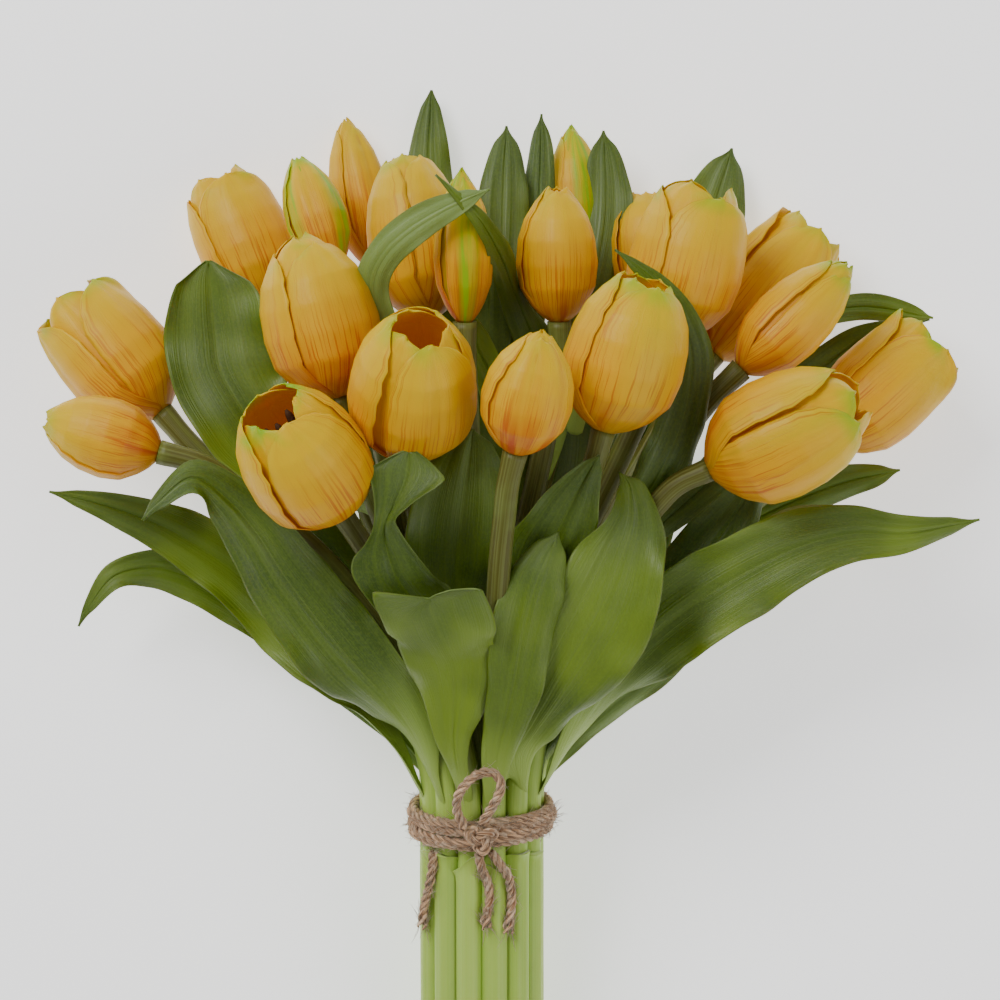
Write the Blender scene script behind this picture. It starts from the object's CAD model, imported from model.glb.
"""Looks of a laid-down bunch of yellow tulips: petals, leaves, stems and a jute bow round its CAD frame."""
import math

import bpy
import numpy as np
from bpy.props import FloatProperty, FloatVectorProperty, IntProperty, PointerProperty
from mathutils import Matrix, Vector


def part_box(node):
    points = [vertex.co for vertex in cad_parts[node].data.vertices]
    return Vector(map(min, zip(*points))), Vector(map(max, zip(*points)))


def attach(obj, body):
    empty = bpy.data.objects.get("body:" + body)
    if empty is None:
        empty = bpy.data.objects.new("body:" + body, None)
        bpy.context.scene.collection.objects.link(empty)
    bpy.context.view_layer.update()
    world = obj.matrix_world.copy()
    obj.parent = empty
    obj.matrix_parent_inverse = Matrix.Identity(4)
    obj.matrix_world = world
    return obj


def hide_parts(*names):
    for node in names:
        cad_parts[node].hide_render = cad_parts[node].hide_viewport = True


bl_info = {
    "name": "Tulip Bunch Looks",
    "version": (1, 0, 0),
    "blender": (4, 5, 0),
    "location": "View3D > Sidebar > Tulips",
    "description": "Petals, leaves, stems, twine and stage for a tied bunch of tulips",
    "category": "Object",
}

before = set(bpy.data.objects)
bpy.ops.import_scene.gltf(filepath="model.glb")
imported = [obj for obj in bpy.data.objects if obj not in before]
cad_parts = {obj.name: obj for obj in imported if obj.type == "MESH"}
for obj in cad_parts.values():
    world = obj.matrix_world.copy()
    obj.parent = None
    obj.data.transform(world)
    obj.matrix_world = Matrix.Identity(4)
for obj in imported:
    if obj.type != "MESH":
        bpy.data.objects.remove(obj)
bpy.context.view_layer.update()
MM = 0.001
UP = np.array((0.0, 0.0, 1.0))
ROW_POINTS = 8               # points in each row of a stem's, a leaf's or a cord's solid
WELD = 2e-6                  # points of a solid nearer than this are one
THIRDS = np.array((-1, -1 / 3, 1 / 3, 1))    # where the four points of a leaf's row stand across it

# For each flower: how open it is, from 0 for a tight bud to 1; how far round its petals start, in
# degrees; how green its rims are; how green its petals are, in the middle if above 0 and at the
# edges if below; how orange it is; and a number that tells it from the others
FLOWERS = {
    "flower_01": (0.74, 20, 0.45, 0.00, 0.35, 1), "flower_02": (0.00, 0, 0.60, -0.95, 0.75, 2),
    "flower_03": (0.03, 35, 0.10, 0.00, 0.80, 3), "flower_04": (0.45, 50, 0.35, 0.00, 0.35, 4),
    "flower_05": (0.00, 10, 0.50, 0.85, 1.00, 5), "flower_06": (0.08, 0, 0.20, 0.00, 0.45, 6),
    "flower_07": (0.00, 25, 0.60, 0.95, 0.50, 7), "flower_08": (0.30, 15, 0.20, 0.00, 0.05, 8),
    "flower_09": (0.70, 30, 0.45, 0.00, 0.30, 9), "flower_10": (0.72, 5, 0.30, 0.00, 0.80, 10),
    "flower_11": (0.14, 45, 0.55, 0.00, 0.60, 11), "flower_12": (0.95, 20, 0.65, 0.00, 0.35, 12),
    "flower_13": (0.50, 40, 0.55, -0.20, 0.65, 13), "flower_14": (0.42, 28, 0.50, 0.20, 0.55, 14),
    "flower_15": (0.04, 0, 0.10, 0.00, 0.90, 15), "flower_16": (0.42, 30, 0.35, 0.00, 0.45, 16),
    "flower_17": (0.28, 38, 0.40, 0.00, 0.65, 17), "flower_18": (0.46, 10, 0.80, 0.00, 0.45, 18),
    "flower_19": (0.85, 55, 0.45, 0.00, 0.40, 19), "flower_20": (0.08, 0, 0.30, 0.00, 0.70, 20),
}
# Flowers whose inside shows, and how far up their stamens reach, as a share of the length
OPEN_FLOWERS = {"flower_01": 0.60, "flower_09": 0.60, "flower_10": 0.60, "flower_12": 0.60, "flower_13": 0.55,
                "flower_16": 0.56, "flower_18": 0.82, "flower_19": 0.60}

# Radius of a flower at shares of its length, for a bud, a closed flower and an open one
SHARES = (0.0, 0.05, 0.12, 0.25, 0.42, 0.60, 0.75, 0.87, 0.95, 1.0)
BUD = (0.24, 0.46, 0.66, 0.92, 1.00, 0.93, 0.75, 0.48, 0.24, 0.03)
CLOSED = (0.22, 0.47, 0.70, 0.94, 1.00, 0.96, 0.84, 0.62, 0.40, 0.17)
OPEN = (0.20, 0.44, 0.68, 0.92, 1.00, 0.99, 0.95, 0.89, 0.83, 0.76)
CLOSED_AT = 0.3
# Half the width of a petal at shares of its length, as a share of the widest
PETAL_FORM = ((0, .12, .30, .50, .70, .84, .93, .98, 1.0), (.50, .76, .95, 1, .94, .76, .51, .27, .05))

# For leaves of the frame that differ from the rest: how light they are, and how much wider
LEAF_LOOKS = {
    "leaf_front_curl": (0.75, 1.0), "leaf_front_broad": (0.45, 1.0), "leaf_right_long": (0.75, 1.0),
    "leaf_left_fold": (0.50, 1.0), "leaf_back_left": (0.25, 1.25), "leaf_centre_back": (0.15, 1.35),
    "leaf_left_long": (0.75, 1.0), "leaf_left_broad": (0.02, 1.1),
    "leaf_left_low": (0.35, 1.0), "leaf_crossing": (0.30, 1.0),
}

# Leaves that only the looks have: midrib points in millimetres from the middle of the tie, the
# half width in millimetres, how light they are, and whether the pale underside faces up
BACK_LEAVES = {
    "blade_top_centre": (((5, 140, -5), (7, 190, -11), (8, 225, -15), (9, 253, -19)), 9.5, 0.3, False),
    "blade_top_narrow": (((16, 140, -9), (19, 190, -15), (21, 225, -21), (22, 258, -25)), 6.0, 0.1, False),
    "blade_top_right": (((34, 140, -13), (41, 190, -19), (46, 222, -23), (45, 252, -27)), 9.5, 0.1, False),
    "blade_right_top": (((56, 140, -23), (73, 190, -27), (85, 220, -31), (93, 246, -33)), 12.5, 0.2, False),
    "blade_right_low": (((50, 78, -13), (96, 106, -9), (128, 120, -7), (153, 126, -7)), 7.0, 0.5, False),
    "blade_right_tip": (((92, 160, -14), (112, 178, -15), (138, 186, -15), (166, 182, -15)), 5.0, 0.5, False),
    "blade_small_tip": (((9, 140, 7), (3, 160, 12), (-3, 173, 15), (-6, 183, 17)), 6.0, 0.6, False),
    "blade_small_back": (((6, 140, -3), (3, 168, -1), (3, 190, -1), (4, 208, -1)), 8.5, 0.2, False),
    "blade_front_narrow": (((4, 11, 27), (6, 26, 35), (11, 47, 46), (15, 69, 54), (20, 88, 59),
                            (27, 104, 59)), 11.5, 0.30, False),
    "blade_right_under": (((14, 7, -5), (35, 31, 2), (58, 50, 6), (80, 67, 6)), 7.0, 0.4, True),
    "blade_left_under": (((-12, 7, -5), (-30, 29, 3), (-50, 46, 6), (-73, 63, 6)), 5.0, 0.4, True),
    "blade_fill_left": (((-3, 14, -26), (-10, 50, -25), (-20, 90, -23), (-36, 146, -20)), 20.0, 0.0, False),
    "blade_fill_middle": (((3, 14, -28), (9, 55, -27), (18, 100, -25), (30, 168, -20)), 22.0, 0.0, False),
    "blade_fill_top": (((0, 84, -21), (-5, 112, -20), (-9, 140, -19), (-12, 172, -18)), 19.0, 0.0, False),
    "blade_arch": (((-17, 122, 12), (-27, 150, 19), (-34, 172, 31), (-39, 190, 41), (-33, 203, 47),
                    (-22, 212, 50), (-9, 219, 52), (3, 224, 54)), 6.5, 0.3, True),
    "blade_fill_right": (((8, 16, -25), (26, 50, -25), (46, 90, -23), (62, 146, -21)), 20.0, 0.0, False),
    "blade_fill_far_left": (((-8, 16, -27), (-30, 50, -27), (-54, 85, -25), (-74, 116, -23)), 18.0, 0.0,
                            False),
}

# Sleeves of leaf skin on the front stems: the stem's number and how far below the tie the rim is
SHEATHS = {19: 0.0088, 20: 0.0092, 18: 0.0112, 15: 0.0132, 13: 0.0096, 11: 0.0090}

# Hand-set tops of leaves: how many rows of the leaf's own blade stay, then rows of four points from
# the right edge to the left one, in millimetres from the middle of the tie
LEAF_TOPS = {
    "leaf_front_curl": (5, (((4.5, 60, 49), (-4.4, 58.5, 47), (-15.3, 56.5, 48), (-25.5, 55, 51)),
                            ((4.4, 66, 55), (-6.2, 63.6, 52), (-17.8, 61.4, 52), (-29.1, 64, 57)),
                            ((6.0, 72.5, 60), (-7.2, 69.7, 57), (-21.0, 66.4, 57), (-31.6, 67.5, 64)),
                            ((4.2, 79, 65), (-9.1, 75.4, 61), (-22.8, 70.4, 61), (-34.6, 75, 72)),
                            ((0.9, 85, 70), (-10.9, 80.6, 65), (-24.4, 74.6, 65), (-37.0, 83, 78)),
                            ((-2.2, 89.5, 73), (-12.0, 84.6, 68), (-24.0, 78.4, 68), (-36.8, 86, 80)))),
    "leaf_centre_left": (5, (((-17.5, 90, 60), (-25.2, 88, 58), (-33.5, 86, 58), (-42.0, 84, 61)),
                             ((-22.6, 98.5, 66), (-29.0, 96.8, 63), (-36.0, 94.6, 62), (-43.2, 92.5, 64)),
                             ((-28.0, 105, 70), (-31.6, 103.4, 67), (-35.6, 101.5, 66), (-40.0, 99.8, 67)),
                             ((-29.0, 108.5, 73), (-31.6, 107.8, 71), (-34.4, 107, 70), (-37.4, 106.2, 70)),
                             ((-23.5, 112.5, 75), (-28.0, 113, 72), (-32.6, 113.4, 71), (-37.4, 113.6, 72)),
                             ((-14.4, 119.6, 77), (-22.4, 121.4, 73), (-30.8, 122.6, 72), (-39.2, 122.8, 74)),
                             ((-9.4, 126.6, 76), (-19.6, 131.6, 73), (-30.0, 132.2, 72),
                              (-40.6, 130.2, 74)))),
    "leaf_left_fold": (7, (((-73.6, 167, 23), (-87.4, 163.6, 20), (-100.0, 160, 19), (-111, 157, 22)),
                           ((-75.4, 177, 23), (-89.4, 175, 19), (-102.0, 172.6, 18), (-113, 171, 21)),
                           ((-78.6, 187, 23), (-91.4, 186.4, 19), (-102.6, 185.4, 18), (-112.6, 184.6, 21)),
                           ((-83.8, 194.4, 22), (-93.6, 195.4, 19), (-102.0, 195.4, 18), (-110, 194, 20)),
                           ((-90.0, 199.8, 20), (-95.4, 201, 18), (-101.2, 201, 18), (-107, 199.6, 19)))),
}


# Settings -----------------------------------------------------------------------------------------
class FlowerSettings(bpy.types.PropertyGroup):
    """Petal sizes and colours."""
    thickness: FloatProperty(name="Petal thickness", description="Thickness of a petal", default=0.0007,
                             unit="LENGTH")
    ruffle: FloatProperty(name="Ruffle", description="How far the petal rims wave", default=0.0008,
                          unit="LENGTH")
    yellow: FloatVectorProperty(name="Yellow", description="Main petal colour", subtype="COLOR", size=4,
                                default=(0.76, 0.385, 0.0, 1.0), min=0, max=1)
    pale: FloatVectorProperty(name="Pale yellow", description="Upper petal colour", subtype="COLOR", size=4,
                              default=(0.74, 0.47, 0.0, 1.0), min=0, max=1)
    orange: FloatVectorProperty(name="Orange", description="Streaks and petal bases", subtype="COLOR",
                                size=4, default=(0.50, 0.075, 0.002, 1.0), min=0, max=1)
    green: FloatVectorProperty(name="Green", description="Rims and young petals", subtype="COLOR", size=4,
                               default=(0.27, 0.48, 0.003, 1.0), min=0, max=1)


class LeafSettings(bpy.types.PropertyGroup):
    """Leaf sizes and colours."""
    thickness: FloatProperty(name="Leaf thickness", description="Thickness at the midrib", default=0.0009,
                             unit="LENGTH")
    wave: FloatProperty(name="Edge wave", description="How far the leaf edges wave", default=0.0028,
                        unit="LENGTH")
    upper: FloatVectorProperty(name="Upper side", description="Colour of the upper side", subtype="COLOR",
                               size=4, default=(0.042, 0.084, 0.003, 1.0), min=0, max=1)
    light: FloatVectorProperty(name="Light patches", description="Yellow-green patches", subtype="COLOR",
                               size=4, default=(0.165, 0.250, 0.008, 1.0), min=0, max=1)
    under: FloatVectorProperty(name="Underside", description="Colour of the underside", subtype="COLOR",
                               size=4, default=(0.215, 0.315, 0.085, 1.0), min=0, max=1)


class StemSettings(bpy.types.PropertyGroup):
    """Stem colours."""
    pale: FloatVectorProperty(name="Pale stem", description="Colour below the tie", subtype="COLOR", size=4,
                              default=(0.42, 0.60, 0.10, 1.0), min=0, max=1)
    olive: FloatVectorProperty(name="Olive stem", description="Colour under the flowers", subtype="COLOR",
                               size=4, default=(0.100, 0.096, 0.014, 1.0), min=0, max=1)


class TwineSettings(bpy.types.PropertyGroup):
    """Twine make and colours."""
    turns: IntProperty(name="Turns", description="Times the twine goes round the stems", default=4, min=2)
    plies: IntProperty(name="Plies", description="Strands twisted together", default=3, min=2, max=4)
    lay: FloatProperty(name="Lay length", description="Length of one full twist", default=0.0105,
                       unit="LENGTH")
    body: FloatVectorProperty(name="Jute", description="Main twine colour", subtype="COLOR", size=4,
                              default=(0.84, 0.52, 0.29, 1.0), min=0, max=1)
    dark: FloatVectorProperty(name="Jute shade", description="Colour between the fibres", subtype="COLOR",
                              size=4, default=(0.22, 0.10, 0.042, 1.0), min=0, max=1)


class StageSettings(bpy.types.PropertyGroup):
    """Camera and light."""
    height: FloatProperty(name="Camera height", description="Height above the surface", default=1.5,
                          unit="LENGTH")
    lens: FloatProperty(name="Lens", description="Focal length on a 36 mm wide sensor", default=144.0,
                        unit="CAMERA")
    light: FloatProperty(name="Key light", description="Power of the key light", default=27.0,
                         unit="POWER")


# Numbers and grids --------------------------------------------------------------------------------
def unit(v):
    """Vectors of length one along the last axis."""
    v = np.asarray(v, float)
    return v / np.maximum(np.linalg.norm(v, axis=-1, keepdims=True), 1e-12)


def smooth(low, high, x):
    """A step from 0 to 1 that eases in and out between low and high."""
    t = np.clip((np.asarray(x, float) - low) / (high - low), 0, 1)
    return t * t * (3 - 2 * t)


def ripple(x, seed, octaves=3):
    """A sum of sines whose pitch doubles and whose size halves, with phases set by the seed."""
    total = np.zeros_like(np.asarray(x, float))
    for k in range(octaves):
        total = total + np.sin(x * 2 ** k + seed * (1.7 + 2.3 * k)) / 2 ** k
    return total


def along_curve(points, count):
    """Points at even steps along a Catmull-Rom curve, each span a cubic of four neighbours."""
    points = np.asarray(points, float)
    shape = points.shape[1:]
    flat = points.reshape(len(points), -1)
    padded = np.vstack((2 * flat[0] - flat[1], flat, 2 * flat[-1] - flat[-2]))
    place = np.linspace(0, len(flat) - 1, 40 * len(flat))
    k = np.minimum(place.astype(int), len(flat) - 2)
    t = (place - k)[:, None]
    a, b, c, d = padded[k], padded[k + 1], padded[k + 2], padded[k + 3]
    fine = 0.5 * (2 * b + (c - a) * t + (2 * a - 5 * b + 4 * c - d) * t ** 2
                  + (3 * b - a - 3 * c + d) * t ** 3)
    middle = fine.reshape((len(fine),) + shape)
    if middle.ndim == 3:
        middle = middle.mean(axis=1)
    travelled = np.concatenate(([0], np.cumsum(np.linalg.norm(np.diff(middle, axis=0), axis=1))))
    wanted = np.linspace(0, travelled[-1], count)
    even = np.column_stack([np.interp(wanted, travelled, fine[:, i]) for i in range(fine.shape[1])])
    return even.reshape((count,) + shape)


def steady_frames(path):
    """Tangents and two normals along a path, each normal the one before with its lean taken out."""
    tangent = unit(np.gradient(path, axis=0))
    side = np.zeros_like(tangent)
    first = np.cross(tangent[0], UP)
    if np.linalg.norm(first) < 0.1:
        first = np.cross(tangent[0], (1.0, 0.0, 0.0))
    side[0] = unit(first)
    for k in range(1, len(path)):
        lean = side[k - 1] - tangent[k] * (side[k - 1] @ tangent[k])
        side[k] = unit(lean)
    return tangent, side, np.cross(tangent, side)


def rings_to_mesh(name, parts, material):
    """One mesh from closed tubes, each (rings of points, grow values), with a fan at either end.

    Grow holds how far across, how far along and which side a point is, and its tone.
    """
    points, grows, faces = [], [], []
    offset = 0
    for rings, grow in parts:
        rows, around = rings.shape[:2]
        k = np.arange(rows - 1)[:, None] * around
        i = np.arange(around)[None, :]
        j = (i + 1) % around
        quads = np.stack((k + i, k + j, k + around + j, k + around + i), axis=-1).reshape(-1, 4) + offset
        total = rows * around
        ends = np.vstack((rings[0].mean(axis=0), rings[-1].mean(axis=0)))
        last = total - around
        ring = np.arange(around)
        following = (ring + 1) % around
        start = np.column_stack((ring, np.full(around, total), following)) + offset
        finish = np.column_stack((last + ring, last + following, np.full(around, total + 1))) + offset
        points.append(np.vstack((rings.reshape(-1, 3), ends)))
        grows.append(np.vstack((grow.reshape(-1, 4), grow[0].mean(axis=0), grow[-1].mean(axis=0))))
        faces += quads.tolist() + start.tolist() + finish.tolist()
        offset += total + 2
    points = np.vstack(points)
    points[:, 2] = np.maximum(points[:, 2], 0.0)
    mesh = bpy.data.meshes.new(name)
    mesh.from_pydata(points.tolist(), [], faces)
    grow = mesh.attributes.new("grow", "FLOAT_COLOR", "POINT")
    grow.data.foreach_set("color", np.vstack(grows).astype(np.float32).ravel())
    mesh.shade_smooth()
    mesh.materials.append(material)
    mesh.validate()
    item = bpy.data.objects.new(name, mesh)
    bpy.context.scene.collection.objects.link(item)
    return item


def shell(surface, normals, thickness, across, along, tone):
    """A thin closed body from a grid of points: the outer side forwards, the inner side back.

    The thickness tapers to the side edges as the square root of one minus the square of the place.
    Side is 0 on the outer skin and 1 on the inner one.
    """
    rows, columns = surface.shape[:2]
    taper = np.sqrt(np.maximum(1 - across ** 2, 0.0))[..., None] * 0.75 + 0.25
    half = normals * thickness / 2 * taper
    outer = surface + half
    inner = (surface - half)[:, ::-1]
    rings = np.concatenate((outer, inner), axis=1)
    grow = np.zeros((rows, 2 * columns, 4))
    grow[..., 0] = np.concatenate((across, across[:, ::-1]), axis=1) * 0.5 + 0.5
    grow[..., 1] = np.concatenate((along, along[:, ::-1]), axis=1)
    grow[:, columns:, 2] = 1.0
    grow[..., 3] = tone
    return rings, grow


# Reading the frame --------------------------------------------------------------------------------
def centre_of(node):
    """The middle of a node's box."""
    low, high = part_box(node)
    return (np.array(low) + np.array(high)) / 2


def solid_of(node):
    """A node's welded points and its edges."""
    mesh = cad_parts[node].data
    raw = np.zeros(len(mesh.vertices) * 3)
    mesh.vertices.foreach_get("co", raw)
    ends = np.zeros(len(mesh.edges) * 2, int)
    mesh.edges.foreach_get("vertices", ends)
    keys = np.round(raw.reshape(-1, 3) / WELD).astype(np.int64)
    _, first, back = np.unique(keys, axis=0, return_index=True, return_inverse=True)
    return raw.reshape(-1, 3)[first], back.reshape(-1)[ends.reshape(-1, 2)]


def rings_of(node, size):
    """The rows of points along a tube or blade, found step by step along its edges.

    The first row is the points nearest to the one that lies lowest along the bunch.
    """
    points, edges = solid_of(node)
    start = points[:, 1].argmin()
    order = np.argsort(np.linalg.norm(points - points[start], axis=1))[:size]
    level = np.full(len(points), -1)
    level[order] = 0
    rows = [points[order]]
    while (level < 0).any() and len(rows) < 200:
        now = level == len(rows) - 1
        touched = np.unique(np.concatenate((edges[now[edges[:, 0]], 1], edges[now[edges[:, 1]], 0])))
        fresh = touched[level[touched] < 0]
        if len(fresh) == 0:
            break
        level[fresh] = len(rows)
        rows.append(points[fresh])
    return rows


def centreline(node):
    """The middle of each row of a tube."""
    return np.array([row.mean(axis=0) for row in rings_of(node, ROW_POINTS)])


def flower_place(number):
    """A flower's base, axis, length and greatest radius, from its solid and its stem's end."""
    points, _ = solid_of(f"flower_{number:02d}")
    stem = centreline(f"stem_{number:02d}")
    centre = (points.max(axis=0) + points.min(axis=0)) / 2
    ends = stem[[0, -1]]
    base = ends[np.linalg.norm(ends - centre, axis=1).argmin()]
    axis = unit(stem[-1] - stem[-2])
    reach = (points - base) @ axis
    radius = np.linalg.norm(points - base - reach[:, None] * axis, axis=1).max()
    return base + axis * reach.min(), axis, reach.max() - reach.min(), radius


def blade_of(node):
    """A leaf's middle surface as rows of four points, from the pairs of points in its rows."""
    grid = []
    across = None
    rows = rings_of(node, ROW_POINTS)
    centres = np.array([row.mean(axis=0) for row in rows])
    tangent = unit(np.gradient(centres, axis=0))
    for row, middle, forward in zip(rows, centres, tangent):
        spread = row - middle
        sizes, axes = np.linalg.eigh(spread.T @ spread)
        widest = axes[:, 2]
        if across is None:
            across = widest
        elif sizes[2] > 3 * sizes[1]:
            across = widest * np.sign(widest @ across)
        else:
            across = unit(across - forward * (across @ forward))
        order = np.argsort(spread @ across)
        grid.append(row[order].reshape(4, 2, 3).mean(axis=1))
    return np.array(grid)


# Materials ----------------------------------------------------------------------------------------
def node_group(name, inputs, outputs):
    """An empty shader group with named inputs, as (name, default), and outputs, as (name, type)."""
    group = bpy.data.node_groups.new(name, "ShaderNodeTree")
    for label, default in inputs:
        socket = group.interface.new_socket(label, in_out="INPUT", socket_type="NodeSocketFloat")
        socket.default_value = default
    for label, kind in outputs:
        group.interface.new_socket(label, in_out="OUTPUT", socket_type=kind)
    return group, group.nodes.new("NodeGroupInput"), group.nodes.new("NodeGroupOutput")


def math_node(tree, operation, first, second=None, clamp=False):
    """A Math node whose inputs are sockets or numbers; gives its output."""
    node = tree.nodes.new("ShaderNodeMath")
    node.operation = operation
    node.use_clamp = clamp
    for place, value in enumerate((first, second)):
        if value is None:
            continue
        if isinstance(value, (int, float)):
            node.inputs[place].default_value = value
        else:
            tree.links.new(value, node.inputs[place])
    return node.outputs[0]


def times(tree, first, second, clamp=False):
    """The product of two values."""
    return math_node(tree, "MULTIPLY", first, second, clamp)


def plus(tree, first, second, clamp=False):
    """The sum of two values."""
    return math_node(tree, "ADD", first, second, clamp)


def one_minus(tree, value):
    """What a value leaves of one."""
    return math_node(tree, "SUBTRACT", 1.0, value)


def ramp(tree, value, low, high):
    """A value eased from 0 at low to 1 at high."""
    node = tree.nodes.new("ShaderNodeMapRange")
    node.interpolation_type = "SMOOTHSTEP"
    tree.links.new(value, node.inputs["Value"])
    node.inputs["From Min"].default_value = low
    node.inputs["From Max"].default_value = high
    return node.outputs["Result"]


def mix(tree, mask, first, second):
    """Two colours, each a socket or a colour, mixed by a mask."""
    node = tree.nodes.new("ShaderNodeMix")
    node.data_type = "RGBA"
    for socket, value in ((node.inputs[0], mask), (node.inputs[6], first), (node.inputs[7], second)):
        if isinstance(value, (int, float)):
            socket.default_value = value
        elif isinstance(value, bpy.types.NodeSocket):
            tree.links.new(value, socket)
        else:
            socket.default_value = tuple(value)
    return node.outputs[2]


def grow_parts(tree):
    """Sockets for how far across, how far along, which side, and the tone of a point."""
    node = tree.nodes.new("ShaderNodeAttribute")
    node.attribute_name = "grow"
    split = tree.nodes.new("ShaderNodeSeparateColor")
    tree.links.new(node.outputs["Color"], split.inputs[0])
    return split.outputs[0], split.outputs[1], split.outputs[2], node.outputs["Alpha"]


def from_midrib(tree, across):
    """How far a point of a blade is from its midrib: 0 on it and 1 at either edge."""
    return math_node(tree, "ABSOLUTE", math_node(tree, "SUBTRACT", times(tree, across, 2.0), 1.0))


def streaks_group():
    """Fine lines that run along a blade: noise read at many steps across and few steps along."""
    inputs = (("Across", 40.0), ("Along", 1.5), ("Low", 0.5), ("High", 0.7), ("Shift", 0.0))
    group, given, result = node_group("Streaks", inputs, (("Mask", "NodeSocketFloat"),))
    across, along, _, tone = grow_parts(group)
    place = group.nodes.new("ShaderNodeCombineXYZ")
    group.links.new(math_node(group, "MULTIPLY", across, given.outputs["Across"]), place.inputs[0])
    group.links.new(math_node(group, "MULTIPLY", along, given.outputs["Along"]), place.inputs[1])
    shift = math_node(group, "ADD", math_node(group, "MULTIPLY", tone, 37.0), given.outputs["Shift"])
    group.links.new(shift, place.inputs[2])
    noise = group.nodes.new("ShaderNodeTexNoise")
    noise.inputs["Scale"].default_value = 1.0
    noise.inputs["Detail"].default_value = 3.0
    group.links.new(place.outputs[0], noise.inputs["Vector"])
    step = group.nodes.new("ShaderNodeMapRange")
    step.interpolation_type = "SMOOTHSTEP"
    group.links.new(noise.outputs[0], step.inputs["Value"])
    group.links.new(given.outputs["Low"], step.inputs["From Min"])
    group.links.new(given.outputs["High"], step.inputs["From Max"])
    group.links.new(step.outputs["Result"], result.inputs["Mask"])
    return group


def speckle_group():
    """Blotches and grain on object coordinates, as a soft mask and a fine height."""
    inputs = (("Blotch", 60.0), ("Grain", 900.0))
    outputs = (("Mask", "NodeSocketFloat"), ("Height", "NodeSocketFloat"))
    group, given, result = node_group("Speckle", inputs, outputs)
    coordinates = group.nodes.new("ShaderNodeTexCoord")
    for label, output, detail in (("Blotch", "Mask", 2.0), ("Grain", "Height", 4.0)):
        noise = group.nodes.new("ShaderNodeTexNoise")
        noise.inputs["Detail"].default_value = detail
        group.links.new(coordinates.outputs["Object"], noise.inputs["Vector"])
        group.links.new(given.outputs[label], noise.inputs["Scale"])
        group.links.new(noise.outputs[0], result.inputs[output])
    return group


def use_group(tree, name, **values):
    """Place a shared group in a material with its own values."""
    node = tree.nodes.new("ShaderNodeGroup")
    node.node_tree = bpy.data.node_groups[name]
    for label, value in values.items():
        node.inputs[label].default_value = value
    return node.outputs


def new_material(name, roughness, sheen=0.0, coat=0.0, subsurface=0.0):
    """A material with its Principled shader set, and its tree."""
    material = bpy.data.materials.new(name)
    material.use_nodes = True
    tree = material.node_tree
    shader = tree.nodes["Principled BSDF"]
    shader.inputs["Roughness"].default_value = roughness
    shader.inputs["Specular IOR Level"].default_value = 0.24
    shader.inputs["Sheen Weight"].default_value = sheen
    shader.inputs["Coat Weight"].default_value = coat
    shader.inputs["Coat Roughness"].default_value = 0.35
    shader.inputs["Subsurface Weight"].default_value = subsurface
    shader.inputs["Subsurface Radius"].default_value = (0.004, 0.002, 0.0006)
    shader.inputs["Subsurface Scale"].default_value = 0.6
    return material, tree, shader


def finish_material(tree, shader, colour, height, distance, strength):
    """Join the colour and a bump made from a height."""
    tree.links.new(colour, shader.inputs["Base Color"])
    bump = tree.nodes.new("ShaderNodeBump")
    bump.inputs["Distance"].default_value = distance
    bump.inputs["Strength"].default_value = strength
    tree.links.new(height, bump.inputs["Height"])
    tree.links.new(bump.outputs[0], shader.inputs["Normal"])


def petal_material(name, settings, rim_green, body_green, orangeness):
    """Golden petals: orange at the base and in fine streaks, paler above, green at the rim."""
    material, tree, shader = new_material(name, 0.40, subsurface=0.12)
    across, along, side, tone = grow_parts(tree)
    edge = from_midrib(tree, across)
    fine = use_group(tree, "Streaks", Across=64.0, Along=1.8, Low=0.53, High=0.62)["Mask"]
    broad = use_group(tree, "Streaks", Across=8.0, Along=1.3, Low=0.42, High=0.72, Shift=9.0)["Mask"]
    speckle = use_group(tree, "Speckle", Blotch=70.0, Grain=1400.0)

    colour = mix(tree, ramp(tree, along, 0.35, 0.95), settings.yellow, settings.pale)
    colour = mix(tree, times(tree, broad, 0.18 * orangeness), colour, settings.orange)
    base = one_minus(tree, ramp(tree, along, 0.02, 0.16 + 0.46 * orangeness))
    flush = times(tree, base, 0.40 + 0.45 * orangeness)
    flush = times(tree, flush, plus(tree, broad, 0.40), clamp=True)
    colour = mix(tree, flush, colour, settings.orange)
    low = one_minus(tree, ramp(tree, along, 0.25, 0.80))
    near = math_node(tree, "MAXIMUM", low, times(tree, ramp(tree, edge, 0.55, 0.95), 0.8))
    lines = times(tree, fine, near)
    colour = mix(tree, times(tree, lines, 0.55 + 0.30 * orangeness), colour, settings.orange)

    body = ramp(tree, edge, 0.30, 0.85)
    if body_green > 0:
        body = one_minus(tree, ramp(tree, edge, 0.10, 0.60))
    body = times(tree, body, abs(body_green))
    body = times(tree, body, plus(tree, broad, 0.55), clamp=True)
    colour = mix(tree, body, colour, settings.green)
    rim = times(tree, ramp(tree, along, 0.86, 1.0), 1.5 * rim_green)
    rim = times(tree, rim, ramp(tree, speckle["Mask"], 0.38, 0.62), clamp=True)
    colour = mix(tree, rim, colour, settings.green)
    inner = one_minus(tree, ramp(tree, tone, 0.46, 0.49))
    inner = times(tree, inner, math_node(tree, "SUBTRACT", 1.1, along), clamp=True)
    colour = mix(tree, times(tree, inner, 0.20 + 0.15 * orangeness), colour, settings.orange)
    inside = times(tree, side, math_node(tree, "SUBTRACT", 1.15, along), clamp=True)
    colour = mix(tree, times(tree, inside, 0.30), colour, settings.orange)
    tree.links.new(mix(tree, side, (0.0, 0.0, 0.0, 1.0), (0.60, 0.17, 0.004, 1.0)),
                   shader.inputs["Emission Color"])
    shader.inputs["Emission Strength"].default_value = 0.13
    height = plus(tree, times(tree, fine, 0.5), speckle["Height"])
    finish_material(tree, shader, colour, height, 0.00015, 0.5)
    return material


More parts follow.
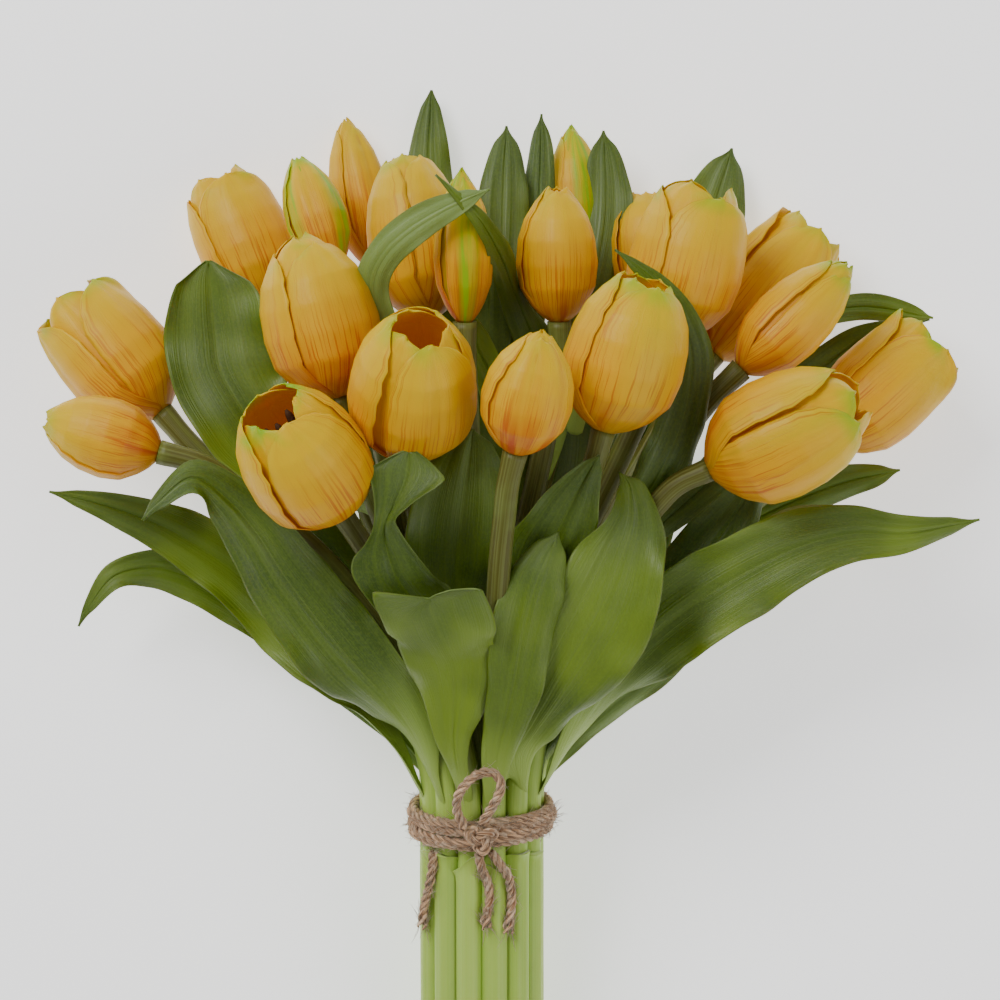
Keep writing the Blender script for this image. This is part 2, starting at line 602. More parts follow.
def leaf_material(name, settings, lightness):
    """Satin leaves: dark and light patches, close parallel veins, pale bases, edges and undersides."""
    material, tree, shader = new_material(name, 0.42, coat=0.04, subsurface=0.04)
    across, along, side, _ = grow_parts(tree)
    edge = from_midrib(tree, across)
    veins = use_group(tree, "Streaks", Across=80.0, Along=0.8, Low=0.40, High=0.62)["Mask"]
    bands = use_group(tree, "Streaks", Across=7.0, Along=1.4, Low=0.38, High=0.75, Shift=4.0)["Mask"]
    speckle = use_group(tree, "Speckle", Blotch=24.0, Grain=1100.0)
    patches = times(tree, ramp(tree, speckle["Mask"], 0.36, 0.68), 0.25 + lightness)
    patches = plus(tree, patches, 0.35 * lightness, clamp=True)
    colour = mix(tree, patches, settings.upper, settings.light)
    colour = mix(tree, times(tree, bands, 0.22), colour, settings.light)
    colour = mix(tree, times(tree, veins, 0.13), colour, settings.light)
    mottle = times(tree, ramp(tree, speckle["Height"], 0.44, 0.62), 0.20)
    colour = mix(tree, mottle, colour, settings.light)
    under = mix(tree, times(tree, veins, 0.25), settings.under, settings.light)
    under = mix(tree, mottle, under, settings.light)
    colour = mix(tree, times(tree, side, 0.85), colour, under)
    pale = one_minus(tree, ramp(tree, along, 0.03, 0.36))
    colour = mix(tree, times(tree, pale, 0.85), colour, (0.36, 0.52, 0.075, 1.0))
    rib = one_minus(tree, ramp(tree, edge, 0.0, 0.05))
    colour = mix(tree, times(tree, rib, 0.25), colour, settings.light)
    colour = mix(tree, times(tree, ramp(tree, edge, 0.955, 0.985), 0.5), colour,
                 settings.light)
    colour = mix(tree, times(tree, ramp(tree, edge, 0.985, 1.0), 0.6), colour,
                 (0.045, 0.065, 0.008, 1.0))
    height = plus(tree, times(tree, veins, 0.7),
                       times(tree, speckle["Height"], 0.6))
    finish_material(tree, shader, colour, height, 0.00020, 0.6)
    shader.inputs["Specular IOR Level"].default_value = 0.5
    rough = times(tree, speckle["Height"], 0.25)
    tree.links.new(plus(tree, rough, 0.32), shader.inputs["Roughness"])
    return material


def stem_material(settings):
    """Smooth stems: pale lime below the tie, olive under the flower, with faint lengthwise lines."""
    material, tree, shader = new_material("Stem skin", 0.42, coat=0.05, subsurface=0.12)
    _, along, side, tone = grow_parts(tree)
    lines = use_group(tree, "Streaks", Across=16.0, Along=3.0, Low=0.35, High=0.75)["Mask"]
    speckle = use_group(tree, "Speckle", Blotch=45.0, Grain=1200.0)
    colour = mix(tree, times(tree, tone, 0.35), settings.pale, (0.27, 0.43, 0.05, 1.0))
    colour = mix(tree, ramp(tree, along, 0.36, 0.66), colour, settings.olive)
    colour = mix(tree, times(tree, lines, 0.16), colour, (0.60, 0.72, 0.24, 1.0))
    blush = times(tree, ramp(tree, speckle["Mask"], 0.50, 0.75), 0.28)
    colour = mix(tree, blush, colour, (0.25, 0.36, 0.07, 1.0))
    colour = mix(tree, times(tree, side, 0.8), colour, (0.72, 0.76, 0.46, 1.0))
    height = plus(tree, lines, speckle["Height"])
    finish_material(tree, shader, colour, height, 0.0002, 0.3)
    return material


def twine_material(settings):
    """Jute: tan plies with dark gaps between them and fine fibres along each."""
    material, tree, shader = new_material("Jute", 0.88, sheen=0.25)
    _, _, side, tone = grow_parts(tree)
    fibres = use_group(tree, "Streaks", Across=16.0, Along=45.0, Low=0.36, High=0.60)["Mask"]
    speckle = use_group(tree, "Speckle", Blotch=420.0, Grain=3500.0)
    colour = mix(tree, fibres, settings.dark, settings.body)
    colour = mix(tree, times(tree, ramp(tree, speckle["Mask"], 0.5, 0.68), 0.6), colour,
                 (0.95, 0.74, 0.52, 1.0))
    colour = mix(tree, times(tree, side, 0.75), colour, settings.dark)
    loose = one_minus(tree, ramp(tree, tone, 0.0, 0.1))
    colour = mix(tree, times(tree, loose, 0.85), colour, (0.78, 0.60, 0.42, 1.0))
    height = plus(tree, fibres, speckle["Height"])
    finish_material(tree, shader, colour, height, 0.00025, 0.9)
    return material


def stamen_material():
    """Dark brown anthers on yellow filaments."""
    material, tree, shader = new_material("Stamens", 0.75)
    along = grow_parts(tree)[1]
    speckle = use_group(tree, "Speckle", Blotch=800.0, Grain=3000.0)
    colour = mix(tree, ramp(tree, along, 0.50, 0.62), (0.62, 0.45, 0.05, 1.0), (0.045, 0.022, 0.012, 1.0))
    colour = mix(tree, times(tree, speckle["Mask"], 0.4), colour, (0.20, 0.09, 0.03, 1.0))
    finish_material(tree, shader, colour, speckle["Height"], 0.0003, 0.8)
    return material


# Flowers ------------------------------------------------------------------------------------------
def outline(share, openness):
    """A flower's radius at a share of its length, mixed from the bud, closed and open outlines."""
    bud, closed, wide = (np.interp(share, SHARES, row) for row in (BUD, CLOSED, OPEN))
    if openness < CLOSED_AT:
        return bud + (closed - bud) * openness / CLOSED_AT
    return closed + (wide - closed) * (openness - CLOSED_AT) / (1 - CLOSED_AT)


def petal_surface(place, centre_angle, layer, openness, seed, settings, rows=52, columns=33):
    """One petal as a grid on a shell round the flower's axis.

    Height follows the length, and the radius is the flower's outline. The half angle is the petal's
    width over that radius. One edge stands a little further out than the other, so each petal laps
    the next. The rim waves, the tip leans out on open flowers, and a soft crease runs up the middle.
    """
    base, axis, length, radius = place
    x_axis = unit(UP - axis * (UP @ axis))
    y_axis = np.cross(axis, x_axis)
    even = np.linspace(0, 1, rows)[:, None]
    v = np.sin(even * math.pi / 2) * 0.35 + even * 0.65
    u = np.linspace(-1, 1, columns)[None, :]
    inner = layer == 1
    own = math.sin(seed * 3.1 + centre_angle * 1.7)

    reach = length * (0.950 + 0.035 * inner + 0.028 * own)
    form = np.interp(v, *PETAL_FORM)
    share = np.clip(v * reach / length, 0, 1)
    profile = outline(share, openness)
    lap = 0.032 * u * (0.3 + 0.7 * smooth(0.05, 0.4, v))
    crease = -0.022 * np.exp(-(u / 0.12) ** 2) * smooth(0.15, 0.45, v) * (1 - smooth(0.9, 1, v))
    depth = 0.005 + 0.020 * (1 - openness) ** 6
    ridges = depth * np.cos(u * math.pi * 2.5 + seed) * smooth(0.08, 0.4, v) * (1 - smooth(0.85, 1, v))
    rho = radius * (profile * (1 - 0.10 * inner) + lap + crease + ridges)

    widest = 1.06 + 0.14 * math.sin(seed * 2.3) + 0.08 * math.sin(seed + centre_angle * 2) + 0.10 * inner
    half_angle = np.minimum(widest * form / np.maximum(profile, 0.24), 1.50)
    angle = centre_angle + u * half_angle
    rim = smooth(0.66, 1.0, v) * (0.3 + 0.7 * np.abs(u)) * form
    wave = settings.ruffle * rim * ripple(u * 3.4 + v * 2.0, seed + centre_angle, 2)
    wave = wave * (0.15 + 2.4 * openness ** 2)
    lean = radius * 0.16 * max(0.0, openness - 0.5) * smooth(0.80, 1.0, v)
    lean = lean * (0.3 if inner else 1.0 + 0.6 * own)
    rho = np.maximum(rho + wave + lean, radius * 0.02)
    ring = np.cos(angle)[..., None] * x_axis + np.sin(angle)[..., None] * y_axis
    jag = settings.ruffle * rim * ripple(u * 4.2, seed * 2.0 + centre_angle, 2) * (0.5 + openness)
    point = length * 0.012 * np.exp(-(u / 0.25) ** 2) * smooth(0.90, 1.0, v)
    surface = base + axis * (v * reach + jag + point)[..., None] + ring * rho[..., None]
    return surface, np.broadcast_to(u, angle.shape), np.broadcast_to(v, angle.shape)


def surface_normals(surface):
    """Normals of a grid, on the side from which across turns to along anticlockwise."""
    return unit(np.cross(np.gradient(surface, axis=1), np.gradient(surface, axis=0)))


def make_flower(name, settings, material):
    """Six petals in two layers of three, as one piece that stands for the flower's solid."""
    openness, start, _, _, _, seed = FLOWERS[name]
    place = flower_place(int(name[-2:]))
    parts = []
    for layer in (1, 0):
        for k in range(3):
            turn = math.radians(start + 120 * k + 60 * layer)
            surface, across, along = petal_surface(place, turn, layer, openness, seed + k + 3 * layer,
                                                   settings)
            rings, grow = shell(surface, surface_normals(surface), settings.thickness, across, along,
                                0.5 * (1 - layer) + 0.45 * ((seed * 0.137 + k * 0.31) % 1.0))
            parts.append((rings, grow))
    piece = rings_to_mesh(f"petals_{name[-2:]}", parts, material)
    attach(piece, "root")
    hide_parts(name)


def tube_rings(path, radii, sides, tone=0.0, side=0.0):
    """Circles of the given radii round a path, as rings and their grow values."""
    _, across, up = steady_frames(path)
    angle = np.linspace(0, 2 * math.pi, sides, endpoint=False)
    circle = across[:, None] * np.cos(angle)[None, :, None] + up[:, None] * np.sin(angle)[None, :, None]
    radii = np.broadcast_to(np.asarray(radii, float).reshape(-1, 1), (len(path), 1))
    rings = path[:, None] + circle * radii[..., None]
    grow = np.zeros(rings.shape[:2] + (4,))
    grow[..., 0] = 0.5 + 0.5 * np.cos(angle)[None, :]
    grow[..., 1] = np.linspace(0, 1, len(path))[:, None]
    grow[..., 2] = side
    grow[..., 3] = tone
    return rings, grow


def make_stamens(name, reach, material):
    """Six stamens round a three-lobed pistil, inside an open flower."""
    base, axis, length, radius = flower_place(int(name[-2:]))
    x_axis = unit(UP - axis * (UP @ axis))
    y_axis = np.cross(axis, x_axis)
    parts = []
    for k in range(6):
        angle = k * math.pi / 3 + 0.3
        away = math.cos(angle) * x_axis + math.sin(angle) * y_axis
        share = np.array((0.13, 0.38, 0.58, 0.74, 0.90, 1.00)) * reach * (1 - 0.08 * (k % 2))
        lean = np.array((0.08, 0.13, 0.17, 0.21, 0.25, 0.26)) * radius
        path = along_curve(base + axis * (share * length)[:, None] + away * lean[:, None], 22)
        t = np.linspace(0, 1, 22)
        swell = np.sin(np.pi * np.clip((t - 0.55) / 0.45, 0, 1)) ** 0.5
        radii = np.where(t < 0.55, 0.0006, 0.0006 + 0.0011 * swell)
        parts.append(tube_rings(path, radii, 10, tone=k / 6))
    path = along_curve(base + axis * (np.array((0.08, 0.50, 0.85)) * reach * length)[:, None], 16)
    t = np.linspace(0, 1, 16)
    pistil, grow = tube_rings(path, 0.0019 + 0.0006 * np.sin(t * 5), 12)
    grow[..., 1] *= 0.5
    parts.append((pistil, grow))
    piece = rings_to_mesh(f"stamens_{name[-2:]}", parts, material)
    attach(piece, "root")


# Stems and leaves ---------------------------------------------------------------------------------
def make_stem(number, material):
    """One stem: a tube whose radius swells and dips a little, wider where it meets its flower."""
    node = f"stem_{number:02d}"
    line = centreline(node)
    points, _ = solid_of(node)
    radius = np.linalg.norm(points - line[0], axis=1).min()
    low, high = line[:1], line[1:2]
    path = np.vstack((low, low * 0.66 + high * 0.34, low * 0.34 + high * 0.66, line[1:]))
    path = along_curve(path, 110)
    share = np.linspace(0, 1, 110)
    radii = radius * (0.985 + 0.014 * ripple(share * 14, number))
    radii = radii * (1 + 0.10 * smooth(0.965, 1.0, share)) * (1 - 0.05 * smooth(0.30, 0.8, share))
    radii = radii * (1 - 0.10 * (1 - smooth(0.0, 0.006, share)))
    rings, grow = tube_rings(path, radii, 22, tone=(number * 0.382) % 1.0)
    cut = rings[0]
    centre = cut.mean(axis=0)
    inward = [centre + (cut - centre) * size for size in (0.02, 0.55, 0.80, 0.94)]
    caps = np.array(inward)
    back = unit(path[1] - path[0])
    caps[:2] += back * 0.0004
    rings = np.concatenate((caps, rings), axis=0)
    cap_grow = np.repeat(grow[:1], 4, axis=0)
    cap_grow[..., 2] = 1.0
    grow = np.concatenate((cap_grow, grow), axis=0)
    piece = rings_to_mesh(f"stem_skin_{number:02d}", [(rings, grow)], material)
    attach(piece, "root")
    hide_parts(node)


# A leaf whose foot is near the tie runs on down its stem by up to this length, to this height
LEAF_FOOT, NEAR_TIE = 0.016, 0.028
FOOT_END = centre_of("twine_wrap")[1] + 0.0030


def leaf_rows(blade, settings, seed, wider, under_up, rows=96, columns=31):
    """A fine grid of a leaf: cubics across and along, with a creased midrib and waving edges.

    Across, a cubic runs through the four points of each row. The outline is eased to a point at
    the tip, the midrib sinks as a narrow bell curve, and the edges wave as a sum of sines. The side
    that looks up where the leaf is widest becomes the upper side, unless the underside is asked for.
    """
    foot = blade[0].mean(axis=0)
    above = foot[1] - FOOT_END
    back = unit(foot - blade[1].mean(axis=0)) * (min(LEAF_FOOT, above) if 0 < above < NEAR_TIE else 0.001)
    coarse = along_curve(np.concatenate(((foot + (blade[:1] - foot) * 0.45 + back), blade)), rows)
    u = np.linspace(-1, 1, columns)
    weights = np.ones((4, columns))
    for a in range(4):
        for b in range(4):
            if a != b:
                weights[a] *= (u - THIRDS[b]) / (THIRDS[a] - THIRDS[b])
    surface = np.einsum("rkc,kn->rnc", coarse, weights)
    share = np.linspace(0, 1, rows)
    middle = surface[:, columns // 2][:, None]
    narrow = np.clip((1.002 - share) / 0.05, 0.04, 1.0) ** 0.6
    width = np.linalg.norm(surface[:, -1] - surface[:, 0], axis=1)
    fuller = np.minimum((width / width.max()) ** (1 - wider), 2.0)
    narrow = narrow * (1 + (wider * fuller - 1) * smooth(0.10, 0.40, share))
    surface = middle + (surface - middle) * narrow[:, None, None]
    width = np.linalg.norm(surface[:, -1] - surface[:, 0], axis=1)[:, None]
    if (surface_normals(surface)[width[:, 0].argmax(), columns // 2, 2] < 0) != under_up:
        surface = surface[:, ::-1]
    normal = surface_normals(surface)
    middle = surface[:, columns // 2]
    travelled = np.concatenate(([0], np.cumsum(np.linalg.norm(np.diff(middle, axis=0), axis=1))))
    open_part = smooth(0.10, 0.35, share)[:, None] * (1 - 0.5 * smooth(0.9, 1, share))[:, None]
    edge = np.abs(u)[None, :] ** 3
    wobble = ripple(travelled[:, None] * 85 + (u[None, :] > 0) * 2.1, seed) * settings.wave
    wobble = wobble * edge * open_part * np.clip(width / 0.025, 0.3, 1)
    crease = -np.exp(-(u[None, :] / 0.07) ** 2) * 0.0006 * open_part
    folds = 0.00040 * np.cos(u[None, :] * 9 + seed) * open_part * np.clip(width / 0.025, 0.2, 1)
    surface = surface + normal * (wobble + crease + folds)[..., None]
    return surface, np.broadcast_to(u[None, :], surface.shape[:2]), np.broadcast_to(
        share[:, None], surface.shape[:2])


def make_leaf(name, blade, settings, seed, material, node=None, wider=1.0, under_up=False):
    """One leaf as a thin closed shell, upper side first."""
    surface, across, along = leaf_rows(blade, settings, seed, wider, under_up)
    rings, grow = shell(surface, surface_normals(surface), settings.thickness, across, along,
                        (seed * 0.173) % 1.0)
    piece = rings_to_mesh(name, [(rings, grow)], material)
    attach(piece, "root")
    if node:
        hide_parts(node)


def back_leaf_blade(points, half_width):
    """Four points across each row of a plain blade along a hand-set path measured from the tie."""
    path = along_curve(centre_of("twine_wrap") + np.array(points) * MM, 14)
    share = np.linspace(0, 1, 14)
    tangent = unit(np.gradient(path, axis=0))
    across = unit(np.cross(tangent, UP))
    width = half_width * MM * np.interp(share, (0, .2, .5, .75, .9, 1), (.3, .6, .92, 1, .74, .08))
    facing = np.cross(across, tangent)
    drop = 0.10 * width[:, None] * THIRDS[None, :] ** 2
    return (path[:, None] + across[:, None] * (width[:, None] * THIRDS)[..., None]
            - facing[:, None] * drop[..., None])


def make_sheath(number, stem, top, material):
    """A sleeve of leaf skin on the front of a stem, from an uneven flaring rim down to the foot.

    The rim is a sum of sines across the sleeve, and the flare dies away as an exponential below it.
    """
    line = centreline(f"stem_{stem:02d}")
    points, _ = solid_of(f"stem_{stem:02d}")
    radius = np.linalg.norm(points - line[0], axis=1).min()
    forward = unit(line[1] - line[0])
    reach = (centre_of("twine_wrap") - line[0]) @ forward
    side = unit(np.cross(forward, UP))
    front = np.cross(side, forward)
    u = np.linspace(-1, 1, 25)[None, :]
    v = np.linspace(0, 1, 44)[:, None] ** 2
    rim = top + 0.0022 * ripple(u * 1.6, number * 1.9, 2) + 0.0012 * u ** 2
    distance = reach - rim - v * (reach - rim - 0.0006)
    angle = u * 1.35
    flare = 0.0011 * np.exp(-v * 60) * (1 + 0.5 * np.cos(u * 4 + number))
    rho = radius + 0.0004 + flare + 0.00012 * np.cos(u * 9 + number)
    ring = side * np.sin(angle)[..., None] + front * np.cos(angle)[..., None]
    surface = line[0] + forward * distance[..., None] + ring * rho[..., None]
    normal = np.broadcast_to(ring, surface.shape)
    across = np.broadcast_to(u, surface.shape[:2])
    along = np.broadcast_to(0.02 * v, surface.shape[:2])
    rings, grow = shell(surface, normal, 0.0008, across, along, (number * 0.382) % 1.0)
    piece = rings_to_mesh(f"sheath_{number}", [(rings, grow)], material)
    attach(piece, "root")


# Twine --------------------------------------------------------------------------------------------
# The short end on the left: millimetres to the side of the tie and along the bunch from its middle
LEFT_END_SIDE = np.array((-17.5, -18.0, -19.3, -21.0, -21.6)) * MM
LEFT_END_ALONG = np.array((-8.5, -15.5, -23.0, -30.5, -38.5)) * MM
KNOT_WIDE, KNOT_TALL, KNOT_DEEP = 0.0021, 0.0018, 0.0017    # half sizes of the knot's looping line
FRAYED = 0.9                 # how far the strands of a loose end open


def plied(path, diameter, settings, seed, splay=0.0):
    """Strands twisted round a path: each circles it at an offset, turning once in a lay length.

    Splay opens the strands towards the far end, as a frayed end does.
    """
    _, side, up = steady_frames(path)
    travelled = np.concatenate(([0], np.cumsum(np.linalg.norm(np.diff(path, axis=0), axis=1))))
    parts = []
    strand = diameter * 0.25
    share = travelled / travelled[-1]
    loose = 1 + splay * smooth(0.82, 1.0, share)
    for k in range(settings.plies):
        phase = 2 * math.pi * (travelled / settings.lay + k / settings.plies) + seed
        centre = path + (side * np.cos(phase)[:, None] + up * np.sin(phase)[:, None]) \
            * (diameter * 0.255 * loose)[:, None]
        radii = strand * (1 + 0.06 * ripple(travelled * 900, seed + k))
        if splay > 0:
            radii = radii * (1 - 0.5 * smooth(0.9, 1, share))
        rings, grow = tube_rings(centre, radii, 9, tone=0.2 + (seed * 0.37 + k * 0.29) % 0.8)
        grow[..., 1] = travelled[:, None] * 4
        inner = (rings - path[:, None])
        grow[..., 2] = 1 - smooth(0.45, 0.95, np.linalg.norm(inner, axis=2) / (diameter * 0.5))
        parts.append((rings, grow))
    return parts


def hairs(paths, diameter, count, length, seed):
    """Loose fibres: thin curved three-sided strands that leave the twine at random places."""
    chance = np.random.default_rng(seed)
    parts = []
    for path in paths:
        tangent, side, up = steady_frames(path)
        picks = chance.integers(2, len(path) - 2, count)
        for k in picks:
            angle = chance.uniform(0, 2 * math.pi)
            away = side[k] * math.cos(angle) + up[k] * math.sin(angle)
            run = tangent[k] * chance.choice((-1, 1))
            size = length * chance.uniform(0.4, 1.2)
            t = np.linspace(0, 1, 6)[:, None]
            bend = chance.uniform(-0.5, 0.5)
            line = (path[k] + away * diameter * 0.42 + run * t * size
                    + away * (t ** 1.5) * size * chance.uniform(0.15, 0.6)
                    + np.cross(run, away) * t ** 2 * size * bend)
            parts.append(tube_rings(line, np.linspace(0.00014, 0.00005, 6), 3))
            parts[-1][1][..., 1] = chance.uniform(0, 4)
    return parts


def wrap_path(settings):
    """The line of the twine round the stems: a helix about the wrap's own axis, slightly uneven."""
    points, _ = solid_of("twine_wrap")
    centre = centre_of("twine_wrap")
    stem = centreline("stem_05")
    axis = unit(stem[1] - stem[0])
    away = points - centre
    height = away @ axis
    outer = np.linalg.norm(away - height[:, None] * axis, axis=1).max()
    diameter = (height.max() - height.min()) / settings.turns
    side = unit(np.cross(axis, UP))
    front = np.cross(side, axis)
    steps = 360 * settings.turns
    turn = np.linspace(0, settings.turns, steps)
    angle = turn * 2 * math.pi + math.pi / 2
    climb = (turn - settings.turns / 2) * diameter * (settings.turns - 1) / settings.turns
    climb = climb + 0.0005 * ripple(angle * 0.7, 3)
    rho = outer - diameter * 0.5 + 0.0005 * ripple(angle * 1.3, 5)
    ring = side * np.cos(angle)[:, None] + front * np.sin(angle)[:, None]
    return centre + axis * climb[:, None] + ring * rho[:, None], diameter, axis, side, front, outer


def crossing_path(diameter, axis, side, front, outer):
    """Two more turns that lie over the others: a circle that rises and falls along the bunch.

    The rise is a sine of half the angle, so that one turn passes high in front and the next low.
    """
    turn = np.linspace(0.3, 2.4, 760) * 2 * math.pi
    tilt = (0.0044 * np.sin(turn * 0.5 + 3.28) + 0.0016 * np.sin(turn + 1.2)
            + 0.0006 * ripple(turn * 0.6, 11))
    rho = outer - diameter * 0.32 + 0.0004 * ripple(turn * 1.4, 12)
    return (centre_of("twine_wrap") + axis * tilt[:, None]
            + (side * np.cos(turn)[:, None] + front * np.sin(turn)[:, None]) * rho[:, None])


# Operators ----------------------------------------------------------------------------------------
class TULIPS_OT_groups(bpy.types.Operator):
    """Make the shader groups that several materials share"""
    bl_idname = "tulips.groups"
    bl_label = "Shader Groups"

    def execute(self, context):
        streaks_group()
        speckle_group()
        return {"FINISHED"}


class TULIPS_OT_flowers(bpy.types.Operator):
    """Make the petals of every flower and the stamens of the open ones"""
    bl_idname = "tulips.flowers"
    bl_label = "Flowers"

    def execute(self, context):
        settings = context.scene.tulip_flowers
        for name, (_, _, rim_green, body_green, orangeness, _) in FLOWERS.items():
            material = petal_material(f"Petal {name[-2:]}", settings, rim_green, body_green, orangeness)
            make_flower(name, settings, material)
        stamens = stamen_material()
        for name, reach in OPEN_FLOWERS.items():
            make_stamens(name, reach, stamens)
        return {"FINISHED"}


class TULIPS_OT_stems(bpy.types.Operator):
    """Make the stems and the clasping sleeves below the tie"""
    bl_idname = "tulips.stems"
    bl_label = "Stems"

    def execute(self, context):
        material = stem_material(context.scene.tulip_stems)
        for number in range(1, 21):
            make_stem(number, material)
        for number, (stem, top) in enumerate(SHEATHS.items(), 1):
            make_sheath(number, stem, top, material)
        return {"FINISHED"}


class TULIPS_OT_leaves(bpy.types.Operator):
    """Make every leaf, those of the frame and the smaller ones behind"""
    bl_idname = "tulips.leaves"
    bl_label = "Leaves"

    def execute(self, context):
        settings = context.scene.tulip_leaves
        materials = {}
        for seed, node in enumerate(sorted(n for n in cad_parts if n.startswith("leaf_")), 1):
            lightness, wider = LEAF_LOOKS.get(node, (0.10, 1.0))
            if lightness not in materials:
                materials[lightness] = leaf_material(f"Leaf {len(materials)}", settings, lightness)
            blade = blade_of(node)
            if node in LEAF_TOPS:
                kept, top = LEAF_TOPS[node]
                blade = np.concatenate((blade[:kept], centre_of("twine_wrap") + np.array(top) * MM))
            make_leaf(f"blade_{node[5:]}", blade, settings, seed, materials[lightness], node, wider)
        for seed, (name, entry) in enumerate(BACK_LEAVES.items(), 30):
            points, half_width, lightness, under_up = entry
            if lightness not in materials:
                materials[lightness] = leaf_material(f"Leaf {len(materials)}", settings, lightness)
            make_leaf(name, back_leaf_blade(points, half_width), settings, seed, materials[lightness],
                      under_up=under_up)
        return {"FINISHED"}


class TULIPS_OT_twine(bpy.types.Operator):
    """Make the wound twine, its knot, loop and loose ends, and their stray fibres"""
    bl_idname = "tulips.twine"
    bl_label = "Twine"

    def execute(self, context):
        settings = context.scene.tulip_twine
        material = twine_material(settings)
        path, diameter, axis, side, front, outer = wrap_path(settings)
        crossing = crossing_path(diameter, axis, side, front, outer)
        wrap = rings_to_mesh("twine_turns", plied(path, diameter, settings, 1)
                             + plied(crossing, diameter * 0.92, settings, 4), material)
        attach(wrap, "root")
        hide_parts("twine_wrap")

        centre = centre_of("twine_knot")
        t = np.linspace(0, 2 * math.pi, 160)
        knot_line = (centre + side * (KNOT_WIDE * (np.sin(t) + 1.5 * np.sin(2 * t)))[:, None]
                     + axis * (KNOT_TALL * (np.cos(t) - 1.5 * np.cos(2 * t)))[:, None]
                     - front * (KNOT_DEEP * np.sin(3 * t))[:, None])
        knot = rings_to_mesh("twine_tied_knot", plied(knot_line, diameter, settings, 2), material)
        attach(knot, "root")
        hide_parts("twine_knot")

        lines = [path, crossing, knot_line]
        for node, name, far_end, splay in (("twine_loop", "bow_loop", "object", 0.0),
                                           ("twine_end_long", "bow_end_long", "bare", FRAYED),
                                           ("twine_end_short", "bow_end_short", "bare", FRAYED)):
            line = along_curve(centreline(node), 130)
            if np.linalg.norm(line[0] - centre) > np.linalg.norm(line[-1] - centre):
                line = line[::-1]
            piece = rings_to_mesh(name, plied(line, diameter, settings, len(name), splay), material)
            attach(piece, "root")
            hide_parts(node)
            lines.append(line)
        over = np.sqrt((outer - diameter * 0.45) ** 2 - LEFT_END_SIDE ** 2)
        line = along_curve(centre_of("twine_wrap") + side * LEFT_END_SIDE[:, None]
                           + axis * LEFT_END_ALONG[:, None] + front * over[:, None], 110)
        tail = rings_to_mesh("bow_end_left", plied(line, diameter, settings, 5, FRAYED), material)
        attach(tail, "root")
        lines.append(line)
        strands = hairs(lines[:1], diameter, 620, 0.0055, 7)
        strands += hairs(lines[1:2], diameter, 420, 0.0055, 10)
        strands += hairs(lines[2:], diameter, 80, 0.0046, 8)
        for line in lines[4:]:
            strands += hairs([line[-14:]], diameter, 26, 0.0060, 9)
        fibres = rings_to_mesh("twine_fibres", strands, material)
        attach(fibres, "root")
        return {"FINISHED"}


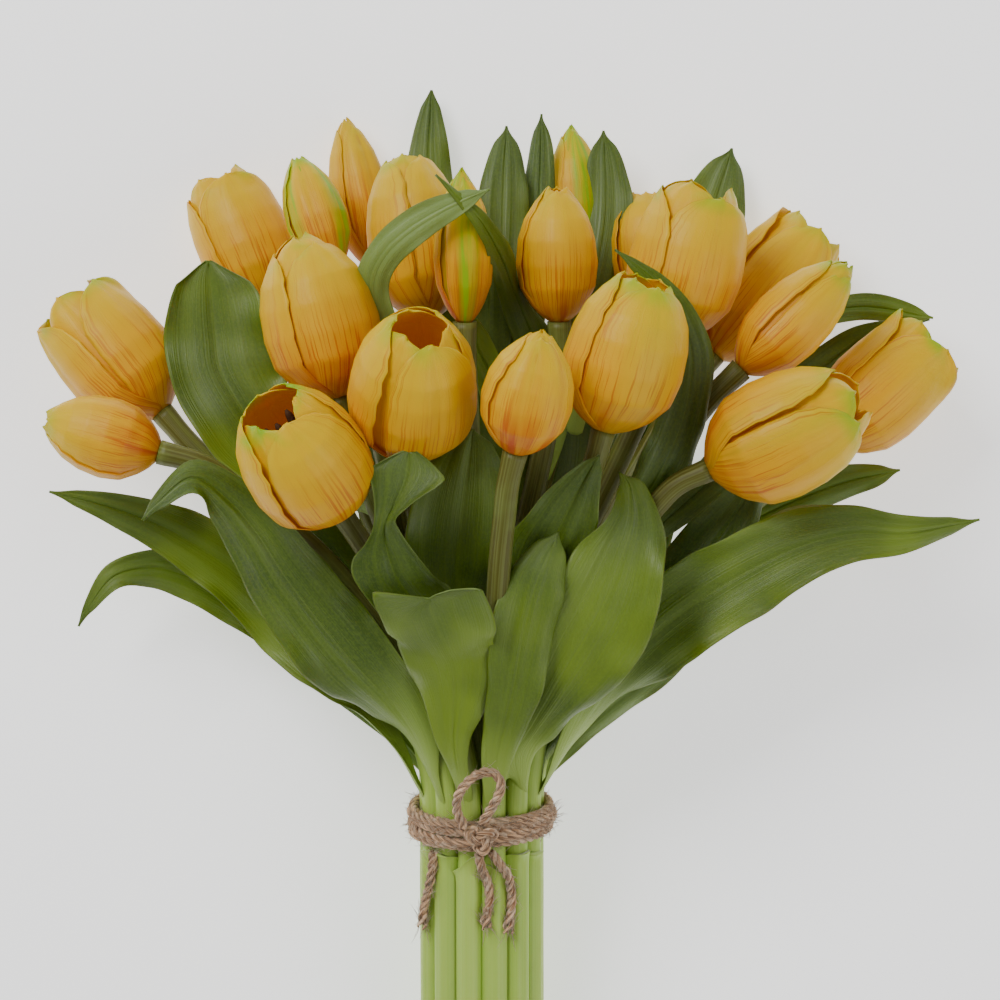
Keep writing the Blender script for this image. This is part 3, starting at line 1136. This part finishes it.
class TULIPS_OT_stage(bpy.types.Operator):
    """Make the floor, the lights and the camera that looks straight down"""
    bl_idname = "tulips.stage"
    bl_label = "Stage"

    def execute(self, context):
        settings = context.scene.tulip_stage
        scene = context.scene
        bpy.ops.mesh.primitive_plane_add(size=6.0, location=(0, 0, -0.0002))
        floor = context.object
        floor.name = "floor"
        material, _, shader = new_material("Floor", 0.85)
        shader.inputs["Base Color"].default_value = (0.95, 0.95, 0.95, 1.0)
        shader.inputs["Emission Color"].default_value = (1.0, 1.0, 1.0, 1.0)
        shader.inputs["Emission Strength"].default_value = 0.85
        floor.data.materials.append(material)

        world = bpy.data.worlds.new("Studio")
        world.use_nodes = True
        world.node_tree.nodes["Background"].inputs[0].default_value = (1.0, 1.0, 1.0, 1.0)
        world.node_tree.nodes["Background"].inputs[1].default_value = 0.36
        scene.world = world
        for name, place, size, power in (("key", (-0.9, 1.0, 1.5), 0.9, settings.light),
                                         ("fill", (1.2, -0.6, 1.3), 1.2, settings.light * 0.4)):
            lamp = bpy.data.lights.new(name, "AREA")
            lamp.energy = power
            lamp.size = size
            item = bpy.data.objects.new(name, lamp)
            scene.collection.objects.link(item)
            item.location = place
            aim = -np.array(place)
            item.rotation_euler = (math.atan2(math.hypot(aim[0], aim[1]), -aim[2]), 0.0,
                                   math.atan2(aim[1], aim[0]) - math.pi / 2)
        tie = centre_of("twine_wrap")
        data = bpy.data.cameras.new("view")
        data.sensor_width = 36.0
        data.lens = settings.lens
        camera = bpy.data.objects.new("view", data)
        scene.collection.objects.link(camera)
        camera.location = (tie[0] + 6.6 * MM, tie[1] + 115 * MM, settings.height)
        scene.camera = camera
        return {"FINISHED"}


class TULIPS_PT_panel(bpy.types.Panel):
    """Lists the steps of the tulip bunch"""
    bl_label = "Tulip Bunch"
    bl_idname = "TULIPS_PT_panel"
    bl_space_type = "VIEW_3D"
    bl_region_type = "UI"
    bl_category = "Tulips"

    def draw(self, context):
        for operator in OPERATORS:
            self.layout.operator(operator.bl_idname)


OPERATORS = (TULIPS_OT_groups, TULIPS_OT_stage, TULIPS_OT_twine, TULIPS_OT_flowers, TULIPS_OT_stems,
             TULIPS_OT_leaves)
GROUPS = {"tulip_flowers": FlowerSettings, "tulip_leaves": LeafSettings, "tulip_stems": StemSettings,
          "tulip_twine": TwineSettings, "tulip_stage": StageSettings}


def register():
    """Register the settings, operators and panel."""
    for name, group in GROUPS.items():
        bpy.utils.register_class(group)
        setattr(bpy.types.Scene, name, PointerProperty(type=group))
    for item in (*OPERATORS, TULIPS_PT_panel):
        bpy.utils.register_class(item)


def unregister():
    """Remove what register added."""
    for item in (TULIPS_PT_panel, *reversed(OPERATORS)):
        bpy.utils.unregister_class(item)
    for name, group in GROUPS.items():
        delattr(bpy.types.Scene, name)
        bpy.utils.unregister_class(group)


def main():
    """Make every piece in order."""
    register()
    bpy.ops.tulips.groups()
    bpy.ops.tulips.stage()
    bpy.ops.tulips.twine()
    bpy.ops.tulips.flowers()
    bpy.ops.tulips.stems()
    bpy.ops.tulips.leaves()


if __name__ == "__main__":
    main()
